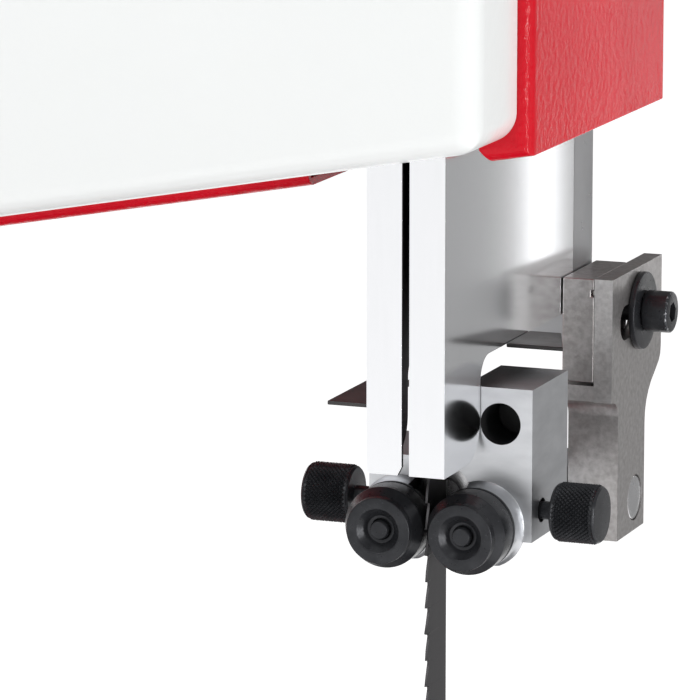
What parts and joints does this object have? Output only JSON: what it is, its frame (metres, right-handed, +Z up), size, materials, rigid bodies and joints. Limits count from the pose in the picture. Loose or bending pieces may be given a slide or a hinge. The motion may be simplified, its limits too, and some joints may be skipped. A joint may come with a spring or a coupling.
{
  "type": "vertical band saw",
  "caption": "Floor-standing vertical band saw with hinged doors over both blade wheels, a tilting table with fence, and a roller blade guide on a rise-and-fall post.",
  "frame": {"origin": "centre of the plinth's underside, on the floor", "axes": "+Z up, -Y towards the operator and the doors, +X towards the open end of the throat"},
  "size_m": [0.675, 0.643, 1.818],
  "materials": {
    "base_plinth": "satin",
    "lower_housing": "gloss",
    "column": "gloss",
    "column_cover": "gloss",
    "upper_housing": "gloss",
    "upper_hinge": "satin",
    "lower_hinge": "satin",
    "blade": "satin",
    "drive_belt": "matte",
    "trunnion_support": "matte",
    "lower_guide_block": "matte",
    "motor": "satin",
    "switch_box": "matte",
    "dust_port": "matte",
    "upper_door": "gloss",
    "upper_door_latch": "gloss",
    "lower_door": "gloss",
    "lower_door_latch": "gloss",
    "wheel_carriage": "matte",
    "tension_spring": "satin",
    "tension_handwheel": "satin",
    "tracking_knob": "satin",
    "tilt_bracket": "matte",
    "upper_wheel": "satin",
    "upper_tyre": "matte",
    "lower_wheel": "satin",
    "lower_tyre": "matte",
    "motor_pulley": "satin",
    "table": "ground",
    "table_insert": "satin",
    "trunnion": "matte",
    "fence_rail": "satin",
    "tilt_lock_lever": "satin",
    "fence_head": "satin",
    "fence_plate": "satin",
    "fence_lever": "satin",
    "start_button": "gloss",
    "stop_button": "gloss",
    "guide_post": "satin",
    "blade_guard": "satin",
    "post_end_block": "cast",
    "chip_plate_left": "satin",
    "chip_plate_right": "satin",
    "post_handwheel": "satin",
    "post_lock_knob": "satin",
    "guide_bracket": "cast",
    "cross_pin": "satin",
    "guide_block": "machined",
    "bracket_screw": "black oxide",
    "bracket_washer": "black oxide",
    "left_roller_shaft": "black oxide",
    "right_roller_shaft": "black oxide",
    "left_roller": "black oxide",
    "right_roller": "black oxide",
    "left_thumb_screw": "black oxide",
    "right_thumb_screw": "black oxide",
    "thrust_slide": "black oxide",
    "thrust_roller": "black oxide",
    "lower_left_roller": "black oxide",
    "lower_right_roller": "black oxide"
  },
  "bodies": {
    "frame": {"base_plinth": "base_plinth", "lower_housing": "lower_housing", "column": "column", "column_cover": "column_cover", "upper_housing": "upper_housing", "upper_hinge": "upper_hinge", "lower_hinge": "lower_hinge", "blade": "blade", "drive_belt": "drive_belt", "trunnion_support": "trunnion_support", "lower_guide_block": "lower_guide_block", "motor": "motor", "switch_box": "switch_box", "dust_port": "dust_port"},
    "upper_door": {"upper_door": "upper_door"},
    "upper_latch": {"upper_door_latch": "upper_door_latch"},
    "lower_door": {"lower_door": "lower_door"},
    "lower_latch": {"lower_door_latch": "lower_door_latch"},
    "carriage": {"wheel_carriage": "wheel_carriage", "tension_spring": "tension_spring"},
    "tension_wheel": {"tension_handwheel": "tension_handwheel"},
    "tracking": {"tracking_knob": "tracking_knob"},
    "tilt": {"tilt_bracket": "tilt_bracket"},
    "upper_wheel": {"upper_wheel": "upper_wheel", "upper_tyre": "upper_tyre"},
    "lower_wheel": {"lower_wheel": "lower_wheel", "lower_tyre": "lower_tyre"},
    "motor_shaft": {"motor_pulley": "motor_pulley"},
    "table": {"table": "table", "table_insert": "table_insert", "trunnion": "trunnion", "fence_rail": "fence_rail"},
    "tilt_lever": {"tilt_lock_lever": "tilt_lock_lever"},
    "fence": {"fence_head": "fence_head", "fence_plate": "fence_plate"},
    "fence_lever": {"fence_lever": "fence_lever"},
    "start": {"start_button": "start_button"},
    "stop": {"stop_button": "stop_button"},
    "post": {"guide_post": "guide_post", "blade_guard": "blade_guard", "post_end_block": "post_end_block", "chip_plate_left": "chip_plate_left", "chip_plate_right": "chip_plate_right"},
    "post_wheel": {"post_handwheel": "post_handwheel"},
    "post_lock": {"post_lock_knob": "post_lock_knob"},
    "guide": {"guide_bracket": "guide_bracket", "cross_pin": "cross_pin", "guide_block": "guide_block"},
    "bracket_screw": {"bracket_screw": "bracket_screw", "bracket_washer": "bracket_washer"},
    "left_shaft": {"left_roller_shaft": "left_roller_shaft"},
    "right_shaft": {"right_roller_shaft": "right_roller_shaft"},
    "left_roller": {"left_roller": "left_roller"},
    "right_roller": {"right_roller": "right_roller"},
    "left_thumb": {"left_thumb_screw": "left_thumb_screw"},
    "right_thumb": {"right_thumb_screw": "right_thumb_screw"},
    "thrust_carrier": {"thrust_slide": "thrust_slide"},
    "thrust_roller": {"thrust_roller": "thrust_roller"},
    "lower_left_roller": {"lower_left_roller": "lower_left_roller"},
    "lower_right_roller": {"lower_right_roller": "lower_right_roller"}
  },
  "joints": [
    {"name": "upper_door_swing", "type": "hinge", "parent": "frame", "child": "upper_door", "pos_m": [-0.283, -0.038, 1.5], "axis": [0, 0, -1], "range_deg": [0, 110]},
    {"name": "upper_latch_turn", "type": "hinge", "parent": "upper_door", "child": "upper_latch", "pos_m": [0.24, -0.05, 1.705], "axis": [0, -1, 0], "range_deg": [0, 90]},
    {"name": "lower_door_swing", "type": "hinge", "parent": "frame", "child": "lower_door", "pos_m": [-0.283, -0.038, 0.465], "axis": [0, 0, -1], "range_deg": [0, 110]},
    {"name": "lower_latch_turn", "type": "hinge", "parent": "lower_door", "child": "lower_latch", "pos_m": [0.24, -0.05, 0.76], "axis": [0, -1, 0], "range_deg": [0, 90]},
    {"name": "tension_turn", "type": "hinge", "parent": "frame", "child": "tension_wheel", "pos_m": [0, 0.074, 1.808], "axis": [0, 0, 1], "range_deg": [-1802, 0]},
    {"name": "carriage_slide", "type": "slide", "parent": "frame", "child": "carriage", "axis": [0, 0, 1], "range_m": [-0.015, 0]},
    {"name": "tracking_turn", "type": "hinge", "parent": "carriage", "child": "tracking", "pos_m": [0, -0.05, 1.485], "axis": [0, 1, 0], "range_deg": [-64, 420]},
    {"name": "wheel_tilt", "type": "hinge", "parent": "carriage", "child": "tilt", "pos_m": [0, 0.035, 1.535], "axis": [1, 0, 0], "range_deg": [-0.3, 2]},
    {"name": "upper_wheel_spin", "type": "hinge", "parent": "tilt", "child": "upper_wheel", "pos_m": [0, -0.021, 1.535], "axis": [0, 1, 0], "continuous": true},
    {"name": "lower_wheel_spin", "type": "hinge", "parent": "frame", "child": "lower_wheel", "pos_m": [0, -0.021, 0.59], "axis": [0, 1, 0], "continuous": true},
    {"name": "motor_spin", "type": "hinge", "parent": "frame", "child": "motor_shaft", "pos_m": [-0.12, 0.02, 0.23], "axis": [0, 1, 0], "continuous": true},
    {"name": "table_tilt", "type": "hinge", "parent": "frame", "child": "table", "pos_m": [0.2254, -0.021, 0.95], "axis": [0, 1, 0], "range_deg": [0, 45]},
    {"name": "tilt_lock_turn", "type": "hinge", "parent": "frame", "child": "tilt_lever", "pos_m": [0.165, 0.102, 0.856], "axis": [0, 1, 0], "range_deg": [0, 45]},
    {"name": "fence_slide", "type": "slide", "parent": "table", "child": "fence", "axis": [1, 0, 0], "range_m": [-0.2, 0.02]},
    {"name": "fence_lever_swing", "type": "hinge", "parent": "fence", "child": "fence_lever", "pos_m": [0.108, -0.306, 0.925], "axis": [-1, 0, 0], "range_deg": [0, 80]},
    {"name": "start_press", "type": "slide", "parent": "frame", "child": "start", "axis": [0, 1, 0], "range_m": [0, 0.003], "stiffness_N_per_m": 600},
    {"name": "stop_press", "type": "slide", "parent": "frame", "child": "stop", "axis": [0, 1, 0], "range_m": [0, 0.003], "stiffness_N_per_m": 600},
    {"name": "post_wheel_turn", "type": "hinge", "parent": "frame", "child": "post_wheel", "pos_m": [0.2479, 0.11, 1.445], "axis": [0, 1, 0], "range_deg": [-1345, 297]},
    {"name": "post_slide", "type": "slide", "parent": "frame", "child": "post", "axis": [0, 0, 1], "range_m": [-0.205, 0.045]},
    {"name": "post_lock_turn", "type": "hinge", "parent": "frame", "child": "post_lock", "pos_m": [0.27, 0.092, 1.385], "axis": [1, 0, 0], "range_deg": [0, 180]},
    {"name": "bracket_adjust", "type": "slide", "parent": "post", "child": "guide", "axis": [0, 1, 0], "range_m": [0, 0.002]},
    {"name": "bracket_screw_turn", "type": "hinge", "parent": "post", "child": "bracket_screw", "pos_m": [0.2654, 0.099, 1.2463], "axis": [1, 0, 0], "range_deg": [0, 360]},
    {"name": "left_shaft_slide", "type": "slide", "parent": "guide", "child": "left_shaft", "axis": [0, -1, 0], "range_m": [0, 0.006]},
    {"name": "right_shaft_slide", "type": "slide", "parent": "guide", "child": "right_shaft", "axis": [0, -1, 0], "range_m": [0, 0.006]},
    {"name": "left_roller_spin", "type": "hinge", "parent": "left_shaft", "child": "left_roller", "pos_m": [0.2109, -0.03, 1.1925], "axis": [0, 1, 0], "continuous": true},
    {"name": "right_roller_spin", "type": "hinge", "parent": "right_shaft", "child": "right_roller", "pos_m": [0.2399, -0.03, 1.1925], "axis": [0, 1, 0], "continuous": true},
    {"name": "left_thumb_turn", "type": "hinge", "parent": "guide", "child": "left_thumb", "pos_m": [0.1814, -0.0045, 1.1965], "axis": [1, 0, 0], "range_deg": [0, 180]},
    {"name": "right_thumb_turn", "type": "hinge", "parent": "guide", "child": "right_thumb", "pos_m": [0.2694, -0.0045, 1.1965], "axis": [1, 0, 0], "range_deg": [0, 180]},
    {"name": "thrust_adjust", "type": "slide", "parent": "guide", "child": "thrust_carrier", "axis": [0, 1, 0], "range_m": [0, 0.006]},
    {"name": "thrust_roller_spin", "type": "hinge", "parent": "thrust_carrier", "child": "thrust_roller", "pos_m": [0.2254, -0.007, 1.201], "axis": [0, 1, 0], "continuous": true},
    {"name": "lower_left_spin", "type": "hinge", "parent": "frame", "child": "lower_left_roller", "pos_m": [0.2109, -0.02, 0.872], "axis": [0, 1, 0], "continuous": true},
    {"name": "lower_right_spin", "type": "hinge", "parent": "frame", "child": "lower_right_roller", "pos_m": [0.2399, -0.02, 0.872], "axis": [0, 1, 0], "continuous": true}
  ],
  "couplings": [
    {"joint": "tension_turn", "follows": "carriage_slide", "rad_per_m": 2094.4},
    {"joint": "tracking_turn", "follows": "wheel_tilt", "ratio": 209.4},
    {"joint": "upper_wheel_spin", "follows": "lower_wheel_spin", "ratio": 1},
    {"joint": "motor_spin", "follows": "lower_wheel_spin", "ratio": 2.2285},
    {"joint": "post_wheel_turn", "follows": "post_slide", "rad_per_m": 114.29}
  ]
}
